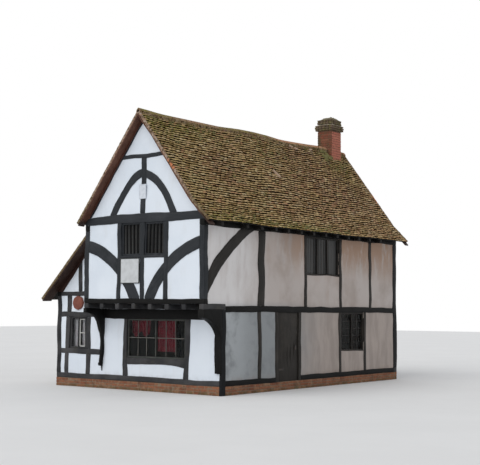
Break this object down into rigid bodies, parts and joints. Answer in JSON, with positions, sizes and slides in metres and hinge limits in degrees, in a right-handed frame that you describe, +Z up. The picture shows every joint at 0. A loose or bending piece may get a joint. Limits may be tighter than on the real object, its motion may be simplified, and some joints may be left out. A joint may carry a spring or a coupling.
{
  "type": "half timbered house",
  "caption": "Half timbered house with a jettied front gable over a flush ground floor, arched and curved braces, a lean-to under a long slope, a tiled roof and a brick chimney.",
  "frame": {"origin": "on the ground under the ridge, in the plane of the ground floor front wall", "axes": "+X to the right along the front, +Y into the house along the ridge, +Z up"},
  "size_m": [6.24, 9.48, 7.98],
  "materials": {
    "timber": "black tarred oak, satin to matt",
    "plaster": "smooth cool white lime render",
    "warm_plaster": "weathered warm lime render",
    "brick": "red-brown stock bricks in lime mortar",
    "floor": "worn brick paving",
    "boards": "bare oak boards",
    "rafter": "old bare oak",
    "tile": "mossy clay peg tiles",
    "ridge": "orange clay ridge tiles with lichen",
    "verge": "red-brown stained boards",
    "glass": "old window glass",
    "board": "weathered pale paint",
    "curtain": "dark red and off-white woven curtains",
    "bell": "faded terracotta paint"
  },
  "bodies": {
    "root": {"front_plinth": "brick", "right_plinth": "brick", "rear_plinth": "brick", "left_plinth": "brick", "ground_floor": "floor", "end_sill_beams": "timber", "side_sill_beams": "timber", "ground_posts": "timber", "front_ground_studs": "timber", "front_ground_rails": "timber", "front_beam": "timber", "jetty_brackets": "timber", "floor_joists": "timber", "bressummer": "timber", "upper_floor": "boards", "upper_posts": "timber", "front_upper_studs": "timber", "front_braces": "timber", "tie_beams": "timber", "collars": "timber", "gable_posts": "timber", "arch_braces": "timber", "gable_rafters": "timber", "wall_plates": "timber", "girding_beams": "timber", "side_studs": "timber", "side_braces": "timber", "arcade_posts": "timber", "rear_studs": "timber", "front_ground_panels": "plaster", "front_upper_panels": "plaster", "gable_panels": "plaster", "right_panels": "warm_plaster", "left_panels": "warm_plaster", "rear_panels": "warm_plaster", "right_rafters": "rafter", "left_rafters": "rafter", "outshot_rafters": "rafter", "right_roof": "tile", "left_roof": "tile", "outshot_roof": "tile", "ridge_tiles": "ridge", "verge_boards": "verge", "chimney_stack": "brick", "chimney_cap": "brick", "front_window": "timber", "upper_window": "timber", "outshot_window": "timber", "side_windows": "timber", "rear_windows": "timber", "ground_window_glass": "glass", "upper_window_glass": "glass", "curtain_rails": "rafter", "curtains": "curtain", "side_door": "timber", "date_plaque": "board", "notice_board": "board", "bell_cover": "bell"}
  },
  "joints": []
}
